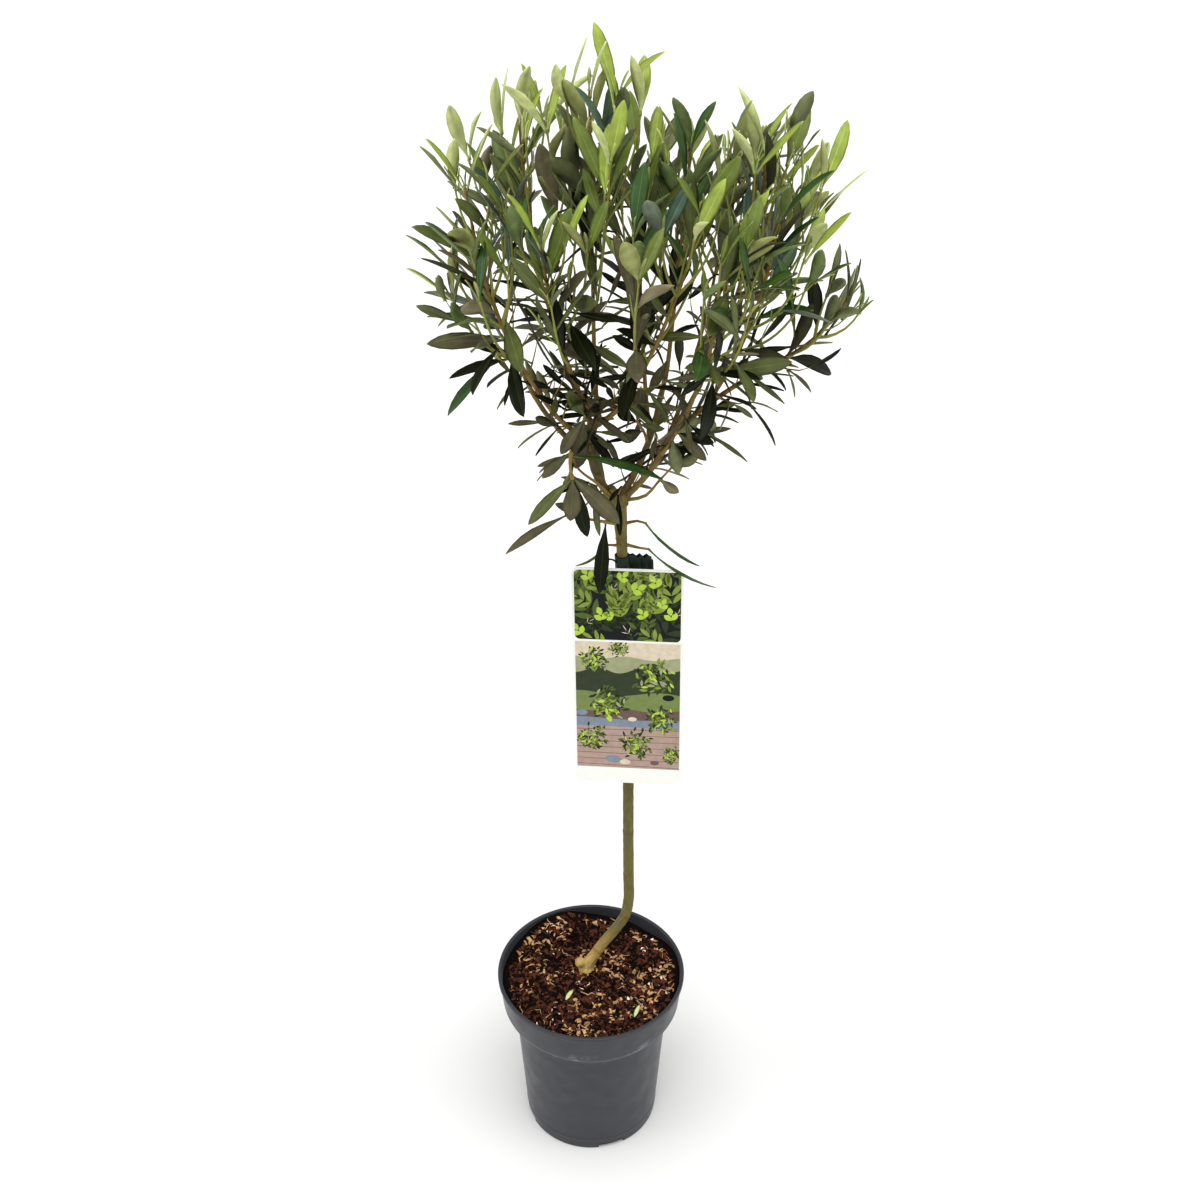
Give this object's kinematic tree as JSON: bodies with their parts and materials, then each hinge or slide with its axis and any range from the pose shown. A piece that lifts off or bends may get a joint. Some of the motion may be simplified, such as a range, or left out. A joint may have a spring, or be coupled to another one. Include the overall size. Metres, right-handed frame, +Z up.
{
  "type": "potted olive tree",
  "caption": "Young standard olive tree with a clear stem and an open, goblet-shaped crown, standing in a round nursery pot with a hanging card label.",
  "frame": {"origin": "middle of the pot's flat underside", "axes": "+Z up along the height; the card label faces -Y; +X is to the right of someone facing the label"},
  "size_m": [0.2571, 0.2369, 0.8084],
  "materials": {
    "bark": "rough tan-brown bark",
    "leaf": "leathery olive leaves, dark above and grey-green below",
    "pot_plastic": "moulded dark grey polypropylene",
    "soil": "loose potting mix of bark and peat",
    "label_card": "printed card with a white edge",
    "band_plastic": "dark green flat plastic strap"
  },
  "bodies": {
    "root": {"pot": "pot_plastic", "soil": "soil", "stem": "bark", "bough_left": "bark", "bough_middle": "bark", "bough_right": "bark", "limb_top": "bark", "limb_front": "bark", "limb_left_front": "bark", "limb_left": "bark", "limb_back_left": "bark", "limb_back": "bark", "limb_top_right": "bark", "limb_right_top": "bark", "limb_far_right": "bark", "limb_right": "bark", "limb_front_right": "bark", "limb_back_right": "bark", "limb_middle": "bark", "foliage_front": "leaf", "foliage_top": "leaf", "foliage_left_front": "leaf", "foliage_left": "leaf", "foliage_back_left": "leaf", "foliage_back": "leaf", "foliage_top_right": "leaf", "foliage_right_top": "leaf", "foliage_far_right": "leaf", "foliage_right": "leaf", "foliage_front_right": "leaf", "foliage_back_right": "leaf", "foliage_middle": "leaf", "foliage_low_left": "leaf", "foliage_hanging": "leaf", "foliage_sprout_left": "leaf", "foliage_sprout_right": "leaf", "foliage_sprout_low": "leaf", "foliage_low_right": "leaf", "foliage_low_side": "leaf", "foliage_low_middle": "leaf", "foliage_low_front": "leaf", "label_band": "band_plastic", "label_card": "label_card"}
  },
  "joints": []
}
